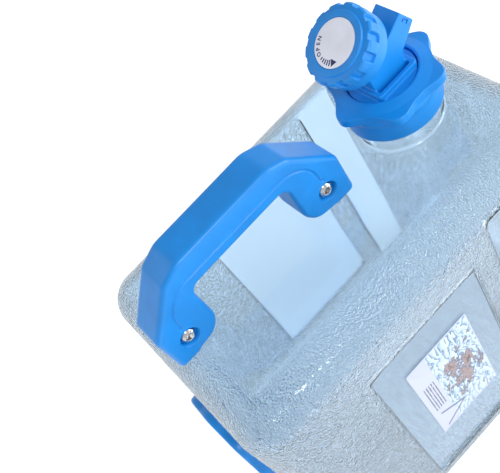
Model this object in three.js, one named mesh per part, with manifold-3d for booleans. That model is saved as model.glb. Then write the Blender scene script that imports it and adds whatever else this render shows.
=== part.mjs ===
// Ten-litre water jug with a bolted carrying handle, a wide filling lid and a screw-on tap.
// Millimetres. +Z is up as the jug hangs from its handle, +X is the tap end and the label faces -Y.
// The origin is the middle of the flat underside.
import * as THREE from 'three';
import { mergeVertices } from 'three/addons/utils/BufferGeometryUtils.js';
import { RoundedBoxGeometry } from 'three/addons/geometries/RoundedBoxGeometry.js';
import Module from 'manifold-3d';

const wasm = await Module();
wasm.setup();

// Driving dimensions.
const gap = 0.3; // clearance between pieces that touch
const jug = { length: 275, width: 180, height: 240, wall: 2.2, edge: 22, steps: 3 };
const panel = { low: -60.7, high: 33.5, bottom: 25, top: 197, depth: 2, corner: 3 };
const strip = { low: 51.5, high: 81.7, bottom: -5, top: 222, depth: 2, corner: 3 };
const sticker = { low: -41, high: 14.3, bottom: 67, top: 167.5, thick: 0.3, corner: 1.5 };
const tapNeck = { x: 80, outer: 28.6, inner: 25.2, height: 29.8, ridge: 0.8 };
const fillNeck = { z: 120, outer: 41, inner: 37, height: 7, ridge: 0.7 };
const lug = { length: 20, width: 12, height: 24, holeRadius: 3.4 };
const handle = {
  middle: -52.6, half: 76.8, width: 27, bolts: 120.1, boltHeight: 16,
  foot: 2, end: 31, shoulderRun: 27, shoulder: 61, crown: 67, underside: 43.5,
  gapHalf: 39.5, bulge: 19, round: 6, pocketClear: 0.4,
};
const bolt = { radius: 3, headRadius: 5.2, headHeight: 3.3, sinkRadius: 6.5, sinkDepth: 4, nutDepth: 7 };
const collar = {
  bottom: 13.5, shoulder: 35.2, rimTop: 40.5, opening: 22.7, bore: 29.8, skirt: 32, neckline: 31,
  lobes: 6, crest: 38.5, valley: 31.7, lobeLow: 31.5, lobeTop: 37.5,
};
const tap = {
  flangeRadius: 28.2, flangeLow: 32.4, flangeTop: 34.9, bossHalf: 16.4, bossWall: 3.4, bossTop: 43,
  bossCorner: 2.4, wellFloor: 37, wellCorner: 1, plugRadius: 22.2, plugTop: 39, blockWidth: 20,
  pivot: 53, tilt: 30, barrel: 12.5, barrelTop: 30, flatTop: 17.2, chamber: 8, chamberFloor: -6,
  inlet: 5, inletOffset: 4.5, ductWidth: 14, ductLow: -3.9, ductHigh: 5.2, reach: 28.8, baseHalf: 12.8,
};
const spout = { top: 7.5, under: -6.2 }; // the spout's two faces, measured along the barrel from its pivot
const ringGroove = { inner: 11.2, outer: 14.4, low: 23.7, high: 25.9 };
const knob = {
  back: 17.9, front: 36.9, rim: 24, backRadius: 22.8, face: 18.8, discRadius: 14.5, discSink: 0.8,
  grooves: 13, grooveWidth: 4.8, grooveDepth: 1.9, grooveLength: 10.5, plate: 3, skirt: 2,
  sleeve: 15.6, boss: 7.2, bossRecess: 4.3, screwHole: 4.5, screwDepth: 31.5,
};
const stem = { radius: 4, piston: 7.4, low: -4, headTop: -1, landLow: 9.5, landTop: 17.5, top: 26 };
const lid = { bottom: 1, top: 11.5, plate: 2.6, bore: 42.2, crest: 46.8, valley: 44.6, lobes: 10 };

const round = 36; // facets round the large turned pieces
const small = 20; // facets round the small turned pieces

// Each finish is one material.
const finishes = {
  clear: { color: 0xbcd9ee, roughness: 0.12, metalness: 0 },
  blue: { color: 0x2d8ce1, roughness: 0.42, metalness: 0 },
  steel: { color: 0xc9ccd0, roughness: 0.25, metalness: 1 },
  seal: { color: 0xe3b9b4, roughness: 0.6, metalness: 0 },
  paper: { color: 0xf1f4f6, roughness: 0.5, metalness: 0 },
  disc: { color: 0xe2e0ee, roughness: 0.4, metalness: 0 },
};

// Solids. A geometry becomes a solid once its shared corners are one vertex and its faces point out.
function toSolid(geometry) {
  const bare = geometry.clone();
  bare.deleteAttribute('normal');
  bare.deleteAttribute('uv');
  const merged = mergeVertices(bare, 1e-4);
  const points = merged.attributes.position;
  const index = merged.index.array;
  const corners = [];
  let volume = 0;
  const [a, b, c] = [new THREE.Vector3(), new THREE.Vector3(), new THREE.Vector3()];
  for (let i = 0; i < index.length; i += 3) {
    const [p, q, r] = [index[i], index[i + 1], index[i + 2]];
    if (p === q || q === r || r === p) continue;
    corners.push([p, q, r]);
    a.fromBufferAttribute(points, p);
    b.fromBufferAttribute(points, q);
    c.fromBufferAttribute(points, r);
    volume += a.dot(b.cross(c));
  }
  const faces = corners.map(([p, q, r]) => (volume < 0 ? [p, r, q] : [p, q, r]));
  return new wasm.Manifold(new wasm.Mesh({
    numProp: 3,
    vertProperties: new Float32Array(points.array),
    triVerts: new Uint32Array(faces.flat()),
  }));
}

function toGeometry(solid) {
  const mesh = solid.getMesh();
  const geometry = new THREE.BufferGeometry();
  geometry.setAttribute('position', new THREE.BufferAttribute(new Float32Array(mesh.vertProperties), 3));
  geometry.setIndex(new THREE.BufferAttribute(new Uint32Array(mesh.triVerts), 1));
  return geometry;
}

function join(geometries) {
  return geometries.map(toSolid).reduce((whole, next) => whole.add(next));
}

function carve(solid, geometries) {
  return geometries.map(toSolid).reduce((whole, next) => whole.subtract(next), solid);
}

// Shapes. Turned and extruded pieces stand along +Z.
function turned(profile, facets = round) {
  const points = profile.map(([r, z]) => new THREE.Vector2(r, z));
  return new THREE.LatheGeometry(points, facets).rotateX(Math.PI / 2);
}

function rod(radius, low, high, facets = round, topRadius = radius) {
  const geometry = new THREE.CylinderGeometry(topRadius, radius, high - low, facets);
  return geometry.rotateX(Math.PI / 2).translate(0, 0, (low + high) / 2);
}

function tube(inner, outer, low, high, facets = round) {
  return turned([[inner, low], [outer, low], [outer, high], [inner, high], [inner, low]], facets);
}

function slab(lengthX, lengthY, lengthZ, x = 0, y = 0, z = 0) {
  return new THREE.BoxGeometry(lengthX, lengthY, lengthZ).translate(x, y, z);
}

function roundedRectangle(lowX, highX, lowY, highY, radius) {
  const shape = new THREE.Shape();
  shape.moveTo(lowX + radius, lowY);
  shape.lineTo(highX - radius, lowY);
  shape.absarc(highX - radius, lowY + radius, radius, -Math.PI / 2, 0);
  shape.absarc(highX - radius, highY - radius, radius, 0, Math.PI / 2);
  shape.absarc(lowX + radius, highY - radius, radius, Math.PI / 2, Math.PI);
  shape.absarc(lowX + radius, lowY + radius, radius, Math.PI, Math.PI * 1.5);
  return shape;
}

function extruded(shape, low, high, bevel = 0, curveSegments = 4) {
  const geometry = new THREE.ExtrudeGeometry(shape, {
    depth: high - low - 2 * bevel,
    bevelEnabled: bevel > 0,
    bevelThickness: bevel,
    bevelSize: bevel,
    bevelOffset: -bevel,
    bevelSegments: 2,
    curveSegments,
  });
  return geometry.translate(0, 0, low + bevel);
}

// A scalloped outline: the radius swells from valley to crest as a raised cosine, once per lobe.
function scalloped(valley, crest, lobes, pointsPerLobe, sharpness) {
  const points = [];
  const count = lobes * pointsPerLobe;
  for (let i = 0; i < count; i += 1) {
    const turn = (i / count) * Math.PI * 2;
    const swell = ((1 + Math.cos(turn * lobes)) / 2) ** sharpness;
    const radius = valley + (crest - valley) * swell;
    points.push(new THREE.Vector2(radius * Math.cos(turn), radius * Math.sin(turn)));
  }
  return new THREE.Shape(points);
}

// The parts are added to these groups: the jug itself, the tap's seat, the tilted valve and the lid.
const object = new THREE.Group();
const tapSeat = new THREE.Group();
tapSeat.position.set(tapNeck.x, 0, jug.height);
const valve = new THREE.Group();
valve.position.z = tap.pivot;
valve.rotation.y = THREE.MathUtils.degToRad(-tap.tilt);
tapSeat.add(valve);
const lidSeat = new THREE.Group();
lidSeat.position.set(-jug.length / 2, 0, fillNeck.z);
lidSeat.rotation.y = -Math.PI / 2;
object.add(tapSeat, lidSeat);

function add(group, name, geometry, finish) {
  const material = new THREE.MeshStandardMaterial(finishes[finish]);
  const mesh = new THREE.Mesh(geometry, material);
  mesh.name = name;
  group.add(mesh);
}

// Jug body: one blow-moulded shell with two threaded necks and two lugs for the handle.
const lugPlaces = [-1, 1].map((side) => handle.middle + (side * handle.bolts) / 2);

function onTap(geometry) {
  return geometry.translate(tapNeck.x, 0, jug.height);
}

function onLid(geometry) {
  return geometry.rotateY(-Math.PI / 2).translate(-jug.length / 2, 0, fillNeck.z);
}

// A block over a recessed area of one long side, from inside depth to outside, grown all round by a margin.
function sideBlock(area, side, inside, outside, margin) {
  const shape = roundedRectangle(
    area.low - margin, area.high + margin, area.bottom - margin, area.top + margin, area.corner,
  );
  const geometry = extruded(shape, -inside, outside, 0, 3).rotateX(Math.PI / 2);
  if (side > 0) geometry.scale(1, -1, 1);
  return geometry.translate(0, side * jug.width / 2, 0);
}

function threadRidges(neck, low, high, count) {
  const ridges = [];
  for (let i = 0; i < count; i += 1) {
    const z = low + ((high - low) * i) / Math.max(count - 1, 1);
    const [foot, tip] = [neck.outer - 0.5, neck.outer + neck.ridge];
    const ridge = [[foot, z - 1.2], [tip, z - 0.4], [tip, z + 0.4], [foot, z + 1.2], [foot, z - 1.2]];
    ridges.push(turned(ridge));
  }
  return ridges;
}

function makeJugBody() {
  const { length, width, height, wall, edge, steps } = jug;
  const shell = new RoundedBoxGeometry(length, width, height, steps, edge).translate(0, 0, height / 2);
  const hollow = new RoundedBoxGeometry(
    length - 2 * wall, width - 2 * wall, height - 2 * wall, steps, edge - wall,
  ).translate(0, 0, height / 2);
  const root = 1.6; // how far a neck or lug is sunk into the wall
  const necks = [
    onTap(rod(tapNeck.outer, -root, tapNeck.height)),
    onTap(rod(tapNeck.outer + 1.6, -root, 2, round, tapNeck.outer + 0.2)),
    onLid(rod(fillNeck.outer, -root, fillNeck.height)),
    ...threadRidges(tapNeck, 17, 25, 2).map(onTap),
    ...threadRidges(fillNeck, 4, 4, 1).map(onLid),
  ];
  const lugs = lugPlaces.map((x) => (
    slab(lug.length, lug.width, lug.height + root, x, 0, height + (lug.height - root) / 2)
  ));
  const lugHoles = lugPlaces.map((x) => (
    rod(lug.holeRadius, -lug.width, lug.width, small).rotateX(Math.PI / 2)
      .translate(x, 0, height + handle.boltHeight)
  ));
  const through = wall + 3;
  const recessed = [panel, strip].flatMap((area) => [[area, -1], [area, 1]]);
  const cuts = [
    onTap(rod(tapNeck.inner, -through, tapNeck.height + 1)),
    onLid(rod(fillNeck.inner, -through, fillNeck.height + 1)),
    ...lugHoles,
    ...recessed.map(([area, side]) => sideBlock(area, side, area.depth, 5, 0)),
  ];
  // Behind each recess the inner wall steps in too, so that the wall keeps its thickness.
  const backings = recessed.map(([area, side]) => sideBlock(area, side, area.depth + wall, 0, wall));
  const outside = join([shell, ...necks, ...lugs]);
  return toGeometry(carve(outside.subtract(carve(toSolid(hollow), backings)), cuts));
}

add(object, 'jug_body', makeJugBody(), 'clear');

// Handle: a bridge whose side outline is drawn in (x, height above the jug's top) and extruded across.
function handleOutline() {
  const { half, foot, end, shoulderRun, shoulder, crown, underside, gapHalf, bulge, round: fillet } = handle;
  const shape = new THREE.Shape();
  const bulgeX = gapHalf + bulge;
  const bulgeZ = foot + bulge;
  const quarter = Math.PI / 2;
  shape.moveTo(half - 3, foot);
  shape.lineTo(half, foot + 3);
  shape.lineTo(half, end);
  shape.lineTo(half - shoulderRun, shoulder);
  shape.quadraticCurveTo(half - shoulderRun - 8, crown, half - shoulderRun - 22, crown);
  shape.lineTo(-half + shoulderRun + 22, crown);
  shape.quadraticCurveTo(-half + shoulderRun + 8, crown, -half + shoulderRun, shoulder);
  shape.lineTo(-half, end);
  shape.lineTo(-half, foot + 3);
  shape.lineTo(-half + 3, foot);
  shape.lineTo(-bulgeX, foot);
  shape.absarc(-bulgeX, bulgeZ, bulge, -quarter, 0);
  shape.lineTo(-gapHalf, underside - fillet);
  shape.absarc(-gapHalf + fillet, underside - fillet, fillet, quarter * 2, quarter, true);
  shape.lineTo(gapHalf - fillet, underside);
  shape.absarc(gapHalf - fillet, underside - fillet, fillet, quarter, 0, true);
  shape.lineTo(gapHalf, bulgeZ);
  shape.absarc(bulgeX, bulgeZ, bulge, quarter * 2, quarter * 3);
  return shape;
}

function across(geometry, x, z) {
  return geometry.rotateX(Math.PI / 2).translate(x, 0, z);
}

function makeHandle() {
  const { width, middle, boltHeight, pocketClear } = handle;
  const bridge = extruded(handleOutline(), -width / 2, width / 2, 2.5, 5);
  bridge.rotateX(Math.PI / 2).translate(middle, 0, jug.height);
  const axisZ = jug.height + boltHeight;
  const cuts = lugPlaces.flatMap((x) => [
    slab(
      lug.length + 2 * pocketClear, lug.width + 2 * pocketClear, lug.height + pocketClear + 10,
      x, 0, jug.height + (lug.height + pocketClear - 10) / 2,
    ),
    across(rod(bolt.radius + gap, -width, width, small), x, axisZ),
    across(rod(bolt.sinkRadius, width / 2 - bolt.sinkDepth, width, small), x, axisZ),
    across(rod(bolt.sinkRadius, -width, -width / 2 + bolt.nutDepth, small), x, axisZ),
  ]);
  return toGeometry(carve(toSolid(bridge), cuts));
}

add(object, 'handle', makeHandle(), 'blue');

// Handle bolts: a domed head with a six-sided socket, and on the far side a washer and a hexagon nut.
// The bolt's own axis is +Z here; it is laid along -Y, head outwards.
const seatLevel = handle.width / 2 - bolt.sinkDepth + gap;
const nutSeat = handle.width / 2 - bolt.nutDepth + gap;
const washerThick = 1.2;
const nutThick = 4;

function makeBolt() {
  const { radius, headRadius, headHeight } = bolt;
  const head = turned([
    [0, seatLevel], [headRadius, seatLevel], [headRadius, seatLevel + 1],
    [headRadius * 0.86, seatLevel + 2.3], [headRadius * 0.55, seatLevel + headHeight],
    [0, seatLevel + headHeight],
  ], small);
  const shank = rod(radius, -nutSeat - washerThick - nutThick - 1, seatLevel + 1, small);
  const socket = rod(2.3, seatLevel + 1.2, seatLevel + 6, 6);
  return toGeometry(carve(join([head, shank]), [socket]));
}

function makeNut() {
  const body = rod(5.7, -nutSeat - washerThick - gap - nutThick, -nutSeat - washerThick - gap, 6);
  return toGeometry(carve(toSolid(body), [rod(bolt.radius + gap, -20, 20, small)]));
}

function makeWasher() {
  return tube(bolt.radius + gap, 6, -nutSeat - washerThick, -nutSeat, small);
}

lugPlaces.forEach((x, i) => {
  const z = jug.height + handle.boltHeight;
  add(object, `handle_bolt_${i + 1}`, across(makeBolt(), x, z), 'steel');
  add(object, `handle_washer_${i + 1}`, across(makeWasher(), x, z), 'steel');
  add(object, `handle_nut_${i + 1}`, across(makeNut(), x, z), 'steel');
});

// Label sticker in the recessed panel of the near side.
function makeSticker() {
  const { low, high, bottom, top, thick, corner } = sticker;
  const level = jug.width / 2 - panel.depth + gap;
  const shape = roundedRectangle(low, high, bottom, top, corner);
  return extruded(shape, level, level + thick, 0, 3).rotateX(Math.PI / 2);
}

add(object, 'label_sticker', makeSticker(), 'paper');

// Filling lid, which screws over the wide neck on the end wall, and its gasket.
function makeLid() {
  const { bottom, top, plate, bore, crest, valley, lobes } = lid;
  const body = extruded(scalloped(valley, crest, lobes, 6, 1), bottom, top, 1.2);
  return toGeometry(carve(toSolid(body), [rod(bore, bottom - 1, top - plate)]));
}

function makeLidGasket() {
  const high = lid.top - lid.plate - gap;
  return tube(fillNeck.inner + gap, fillNeck.outer + gap, fillNeck.height + gap, high);
}

add(lidSeat, 'fill_lid', makeLid(), 'blue');
add(lidSeat, 'fill_lid_gasket', makeLidGasket(), 'seal');

// Tap collar: a conical skirt, a flange of six lobes and a low cone up to the round opening.
function makeCollar() {
  const c = collar;
  const skirt = turned([
    [0, c.bottom], [c.skirt, c.bottom], [c.neckline, c.lobeLow], [c.neckline, c.lobeTop],
    [c.opening + 1, c.rimTop], [0, c.rimTop],
  ]);
  const lobes = extruded(scalloped(c.valley, c.crest, c.lobes, 8, 1.6), c.lobeLow, c.lobeTop, 1.2);
  const flare = turned([
    [0, c.lobeLow - 7], [c.neckline, c.lobeLow - 7], [c.valley + 2.4, c.lobeLow + 1], [0, c.lobeLow + 1],
  ]);
  const cuts = [rod(c.bore, c.bottom - 1, c.shoulder), rod(c.opening, c.bottom, c.rimTop + 1)];
  return toGeometry(carve(join([skirt, lobes, flare]), cuts));
}

add(tapSeat, 'tap_collar', makeCollar(), 'blue');
function makeTapGasket() {
  return tube(tapNeck.inner + gap, tapNeck.outer - gap, tapNeck.height + gap, tap.flangeLow - gap);
}

add(tapSeat, 'tap_gasket', makeTapGasket(), 'seal');

// Tap body: a clamped flange, a square boss with an open well, a spout block and the tilted barrel.
function tilted(geometry) {
  return geometry.rotateY(THREE.MathUtils.degToRad(-tap.tilt)).translate(0, 0, tap.pivot);
}

function alongTilt(axial, outward) {
  const angle = THREE.MathUtils.degToRad(tap.tilt);
  return [
    -axial * Math.sin(angle) + outward * Math.cos(angle),
    tap.pivot + axial * Math.cos(angle) + outward * Math.sin(angle),
  ];
}

function makeSpoutBlock() {
  const { baseHalf, wellFloor, bossTop, reach, barrel } = tap;
  const outline = [
    [-baseHalf, wellFloor - 1], [baseHalf, wellFloor - 1], [baseHalf, bossTop + 2.7],
    alongTilt(-9.6, 11), alongTilt(spout.under, reach), alongTilt(spout.top, reach),
    alongTilt(spout.top, -barrel),
  ];
  const shape = new THREE.Shape(outline.map(([x, z]) => new THREE.Vector2(x, z)));
  return extruded(shape, -tap.blockWidth / 2, tap.blockWidth / 2, 0.8).rotateX(Math.PI / 2);
}

function makeTapBody() {
  const t = tap;
  const boss = roundedRectangle(-t.bossHalf, t.bossHalf, -t.bossHalf, t.bossHalf, t.bossCorner);
  const inner = t.bossHalf - t.bossWall;
  const well = roundedRectangle(-inner, inner, -inner, inner, t.wellCorner);
  const base = carve(join([
    rod(t.flangeRadius, t.flangeLow, t.flangeTop),
    rod(t.plugRadius, t.flangeTop - 0.5, t.plugTop),
    extruded(boss, t.flangeTop - 0.5, t.bossTop, 0, 4),
  ]), [extruded(well, t.wellFloor, t.bossTop + 1, 0, 3)]);
  const barrel = join([makeSpoutBlock(), tilted(rod(t.barrel, -4, t.barrelTop))]);
  const ductHeight = t.ductHigh - t.ductLow;
  const duct = slab(t.reach, t.ductWidth, ductHeight, t.reach / 2 + 2, 0, t.ductLow + ductHeight / 2);
  const cuts = [
    tilted(rod(t.chamber, t.chamberFloor, t.barrelTop + 1)),
    tilted(rod(t.inlet, t.chamberFloor - 6, t.chamberFloor + 1, small)),
    rod(t.inlet, t.flangeLow - 1, t.bossTop + 0.5, small).translate(t.inletOffset, 0, 0),
    tilted(duct),
    ...[-1, 1].map((side) => tilted(slab(
      2 * t.barrel + 4, 4, t.flatTop + 6, 0, side * (t.blockWidth / 2 + 2), (t.flatTop - 6) / 2,
    ))),
    tilted(tube(ringGroove.inner, t.barrel + 1, ringGroove.low, ringGroove.high)),
  ];
  return toGeometry(carve(base.add(barrel), cuts));
}

add(tapSeat, 'tap_body', makeTapBody(), 'blue');

// Knob: a grooved cap with a sleeve over the barrel and a threaded boss that drives the plunger.
function knobGrooves() {
  const { rim, grooves, grooveWidth, grooveDepth, grooveLength, front } = knob;
  const cuts = [];
  for (let i = 0; i < grooves; i += 1) {
    const level = front - grooveLength / 2 + 1;
    const cut = slab(4, grooveWidth, grooveLength + 2, rim - grooveDepth + 2, 0, level);
    cuts.push(cut.rotateZ((i / grooves) * Math.PI * 2));
  }
  return cuts;
}

function makeKnob() {
  const k = knob;
  const body = turned([
    [0, k.back], [k.backRadius, k.back], [k.rim - 0.3, k.front - 11], [k.rim, k.front - 8],
    [k.rim, k.front - 3.6], [k.rim - 1.6, k.front - 2], [k.face, k.front - 1.4], [k.face, k.front],
    [k.discRadius + gap, k.front], [k.discRadius + gap, k.front - k.discSink], [0, k.front - k.discSink],
  ], knob.grooves * 3);
  const ceiling = k.front - k.plate - k.discSink;
  const cuts = [
    tube(k.sleeve, k.backRadius - k.skirt, k.back - 1, ceiling),
    tube(k.boss, tap.barrel + gap, k.back - 1, ceiling),
    rod(k.boss + 0.1, k.back - 1, k.back + k.bossRecess, small),
    rod(k.screwHole, k.back, k.screwDepth, small),
    tube(tap.barrel, ringGroove.outer, ringGroove.low, ringGroove.high),
    ...knobGrooves(),
  ];
  return toGeometry(carve(toSolid(body), cuts));
}

add(valve, 'knob', makeKnob(), 'blue');
add(valve, 'knob_disc', rod(knob.discRadius, knob.front - knob.discSink + gap, knob.front, round), 'disc');

// Retaining ring: a split spring ring that sits half in the barrel and half in the knob's sleeve.
function makeRing() {
  const { inner, outer, low, high } = ringGroove;
  const ring = tube(inner + gap, outer - gap, low + 0.4, high - 0.4);
  return toGeometry(carve(toSolid(ring), [slab(6, 4, 20, 13, 0, 24)]));
}

add(valve, 'knob_retaining_ring', makeRing(), 'steel');

// Plunger: a stem that the knob's thread lifts, with a ring seal above and a flat seal below.
function makePlunger() {
  const s = stem;
  const land = (s.landLow + s.landTop) / 2;
  const body = turned([
    [0, s.low], [s.piston, s.low], [s.piston, s.headTop], [s.radius, s.headTop + 1.5],
    [s.radius, s.landLow - 1.5], [s.piston, s.landLow], [s.piston, land - 1.4],
    [s.piston - 2, land - 1.4], [s.piston - 2, land + 1.4], [s.piston, land + 1.4],
    [s.piston, s.landTop], [s.radius, s.landTop], [s.radius, s.top], [0, s.top],
  ], small);
  return toGeometry(carve(toSolid(body), [rod(1.7, s.low - 1, s.low + 7, small)]));
}

function makeRingSeal() {
  const land = (stem.landLow + stem.landTop) / 2;
  const section = [];
  const centre = stem.piston - 0.65;
  for (let i = 0; i <= 10; i += 1) {
    const turn = (i / 10) * Math.PI * 2;
    section.push([centre + 0.95 * Math.cos(turn), land + 0.95 * Math.sin(turn)]);
  }
  return turned(section, small);
}

function makeSealScrew() {
  const head = rod(2.8, -8, -6, small);
  return toGeometry(carve(join([head, rod(1.4, -6.5, 2, small)]), [slab(6, 0.8, 1.6, 0, 0, -8)]));
}

add(valve, 'valve_plunger', makePlunger(), 'clear');
add(valve, 'plunger_ring_seal', makeRingSeal(), 'seal');
add(valve, 'plunger_seat_seal', tube(1.7, 7.2, tap.chamberFloor + gap, stem.low - gap, small), 'seal');
add(valve, 'seal_screw', makeSealScrew(), 'steel');

export default object;
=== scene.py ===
import math
import bmesh
import bpy
import numpy as np
from mathutils import Matrix, Vector


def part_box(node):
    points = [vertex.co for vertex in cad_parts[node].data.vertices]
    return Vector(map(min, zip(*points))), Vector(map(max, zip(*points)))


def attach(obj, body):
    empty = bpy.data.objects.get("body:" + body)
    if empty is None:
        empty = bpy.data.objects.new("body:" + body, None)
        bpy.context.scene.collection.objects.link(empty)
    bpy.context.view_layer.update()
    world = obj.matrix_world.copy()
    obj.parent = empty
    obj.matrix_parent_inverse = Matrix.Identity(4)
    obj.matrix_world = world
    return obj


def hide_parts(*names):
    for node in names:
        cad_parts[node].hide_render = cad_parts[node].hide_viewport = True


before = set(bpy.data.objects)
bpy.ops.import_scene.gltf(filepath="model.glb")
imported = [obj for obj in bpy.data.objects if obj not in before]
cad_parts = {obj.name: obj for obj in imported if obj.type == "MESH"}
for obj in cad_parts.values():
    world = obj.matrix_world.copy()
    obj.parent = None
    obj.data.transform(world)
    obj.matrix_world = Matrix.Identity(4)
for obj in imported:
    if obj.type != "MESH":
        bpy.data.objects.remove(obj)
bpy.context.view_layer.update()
mm = 0.001
print("frame loaded:", len(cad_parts), "CAD nodes")


# ---- places taken from the frame

def boxOf(node):
    low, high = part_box(node)
    return np.array(low) / mm, np.array(high) / mm


handleLow, handleHigh = boxOf("handle")
collarLow, collarHigh = boxOf("tap_collar")
lidLow, lidHigh = boxOf("fill_lid")
stickerLow, stickerHigh = boxOf("label_sticker")

body = {  # the moulded shell, in millimetres
    "length": 275.0,
    "width": 180.0,
    "height": 240.0,
    "edge": 22.0,
    "wall": 2.2,
    "recess": 2.0,
    "slope": 0.65,  # half the width of a recess's sloping wall
    "pebbleSize": 1.35,
    "pebbleDepth": 1.0,
}
tapPlace = np.array([(collarLow[0] + collarHigh[0]) / 2, 0.0, body["height"]])
lidPlace = np.array([-body["length"] / 2, 0.0, (lidLow[2] + lidHigh[2]) / 2])
valveTilt = math.radians(30)
valvePivot = 53.0


def unmoved(points):
    return points


def onTap(points):
    return points + tapPlace


def onValve(points):
    # turned about Y by the tilt, then lifted to the pivot of the barrel
    x, y, z = points[..., 0], points[..., 1], points[..., 2]
    c, s = math.cos(valveTilt), math.sin(valveTilt)
    return onTap(np.stack([x * c - z * s, y, x * s + z * c + valvePivot], -1))


def onLid(points):
    # the lid's axis lies along -X, with its own X upwards
    x, y, z = points[..., 0], points[..., 1], points[..., 2]
    return np.stack([-z, y, x], -1) + lidPlace


def smoothStep(value, low, high):
    # 0 below low, 1 above high, and three squares less two cubes of the share between
    t = np.clip((value - low) / (high - low), 0, 1)
    return t * t * (3 - 2 * t)


# ---- meshes from whole arrays

def putObject(name, data):
    piece = bpy.data.objects.new(name, data)
    bpy.context.scene.collection.objects.link(piece)
    return piece


def gridQuads(rows, columns, closeAround=True, start=0):
    # one quad between each pair of neighbouring rows and columns
    wide = columns if closeAround else columns - 1
    r = np.arange(rows - 1)[:, None]
    c = np.arange(wide)[None, :]
    nextC = (c + 1) % columns
    here, above = r * columns, (r + 1) * columns
    quads = np.stack([here + c, here + nextC, above + nextC, above + c], -1)
    return quads.reshape(-1, 4) + start


def putMesh(name, points, quads, attributes=None):
    mesh = bpy.data.meshes.new(name)
    points = np.ascontiguousarray(points.reshape(-1, 3) * mm, np.float32)
    mesh.vertices.add(len(points))
    mesh.vertices.foreach_set("co", points.ravel())
    mesh.loops.add(quads.size)
    mesh.loops.foreach_set("vertex_index", quads.ravel().astype(np.int32))
    mesh.polygons.add(len(quads))
    mesh.polygons.foreach_set("loop_start", np.arange(0, quads.size, 4, dtype=np.int32))
    for key, values in (attributes or {}).items():
        layer = mesh.attributes.new(key, "FLOAT", "POINT")
        layer.data.foreach_set("value", values.ravel().astype(np.float32))
    mesh.update(calc_edges=True)
    mesh.validate()
    piece = putObject(name, mesh)
    mendMesh(piece)
    return piece


def mendMesh(piece):
    # coincident corners become one, and faces point outwards
    work = bmesh.new()
    work.from_mesh(piece.data)
    bmesh.ops.remove_doubles(work, verts=work.verts, dist=2e-6)
    bmesh.ops.dissolve_degenerate(work, edges=work.edges, dist=1e-7)
    bmesh.ops.holes_fill(work, edges=[e for e in work.edges if e.is_boundary], sides=4)
    bmesh.ops.recalc_face_normals(work, faces=work.faces)
    if work.calc_volume(signed=True) < 0:
        bmesh.ops.reverse_faces(work, faces=work.faces)
    work.to_mesh(piece.data)
    work.free()


def dress(piece, material, bodyName, replaced=(), creaseAngle=40):
    piece.data.polygons.foreach_set("use_smooth", np.ones(len(piece.data.polygons), bool))
    piece.data.set_sharp_from_angle(angle=math.radians(creaseAngle))
    piece.data.materials.clear()
    piece.data.materials.append(material)
    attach(piece, bodyName)
    if replaced:
        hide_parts(*replaced)


def applyAll(piece):
    # the evaluated mesh takes the place of the mesh with modifiers
    graph = bpy.context.evaluated_depsgraph_get()
    final = bpy.data.meshes.new_from_object(piece.evaluated_get(graph))
    piece.modifiers.clear()
    old = piece.data
    piece.data = final
    bpy.data.meshes.remove(old)


def combine(piece, others, operation):
    # boolean with closed solids, which are then removed
    for other in others:
        step = piece.modifiers.new(operation.title(), "BOOLEAN")
        step.operation = operation
        step.solver = "EXACT"
        step.object = other
    applyAll(piece)
    mendMesh(piece)
    for other in others:
        bpy.data.objects.remove(other)


def roundCorners(corners, steps=5):
    # corners are (r, z, radius): each sharp corner becomes an arc tangent to both of its sides
    out = []
    count = len(corners)
    for i, (r, z, radius) in enumerate(corners):
        here = np.array([r, z], float)
        if radius <= 0 or i in (0, count - 1):
            out.append(here)
            continue
        before = np.array(corners[i - 1][:2], float) - here
        after = np.array(corners[i + 1][:2], float) - here
        lengthBefore, lengthAfter = np.linalg.norm(before), np.linalg.norm(after)
        before /= lengthBefore
        after /= lengthAfter
        half = math.acos(np.clip(before @ after, -1, 1)) / 2
        cut = min(radius / math.tan(half), lengthBefore * 0.49, lengthAfter * 0.49)
        reach = cut * math.tan(half)
        centre = here + (before + after) / np.linalg.norm(before + after) * reach / math.sin(half)
        first, last = here + before * cut - centre, here + after * cut - centre
        t = np.linspace(0, 1, steps + 1)[:, None]
        chord = first * (1 - t) + last * t
        out.extend(centre + chord / np.linalg.norm(chord, axis=1, keepdims=True) * reach)
    return np.array(out)


def refine(profile, longest):
    # extra points so that no stretch of the profile is longer than longest
    out = [profile[0]]
    for a, b in zip(profile[:-1], profile[1:]):
        pieces = max(1, int(math.ceil(np.linalg.norm(b - a) / longest)))
        t = np.arange(1, pieces + 1)[:, None] / pieces
        out.extend(a * (1 - t) + b * t)
    return np.array(out)


def spun(name, profile, around, place, radiusAt=None, closed=False):
    # the profile (r, z) carried round the axis; radiusAt may swell r by angle, r and z
    if closed:
        profile = np.vstack([profile, profile[:1]])
    angle = np.linspace(0, 2 * math.pi, around, endpoint=False)[None, :]
    r = np.repeat(profile[:, :1], around, 1)
    z = np.repeat(profile[:, 1:], around, 1)
    if radiusAt is not None:
        r, z = radiusAt(angle, r, z)
    points = np.stack([r * np.cos(angle), r * np.sin(angle), z], -1)
    return putMesh(name, place(points), gridQuads(len(profile), around))


def prism(name, outline, low, high, place):
    # a flat outline carried straight up, with its two ends filled
    outline = np.asarray(outline, float)
    count = len(outline)
    lower = np.column_stack([outline, np.full(count, low)])
    upper = np.column_stack([outline, np.full(count, high)])
    points = place(np.vstack([lower, upper])) * mm
    around = np.arange(count)
    sides = np.stack([around, (around + 1) % count, (around + 1) % count + count, around + count], -1)
    faces = [list(map(int, f)) for f in sides] + [list(range(count))[::-1], list(range(count, 2 * count))]
    mesh = bpy.data.meshes.new(name)
    mesh.from_pydata(points.tolist(), [], faces)
    piece = putObject(name, mesh)
    mendMesh(piece)
    return piece


def circle(radius, count=64, centre=(0, 0)):
    t = np.linspace(0, 2 * math.pi, count, endpoint=False)
    return np.column_stack([radius * np.cos(t) + centre[0], radius * np.sin(t) + centre[1]])


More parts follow.
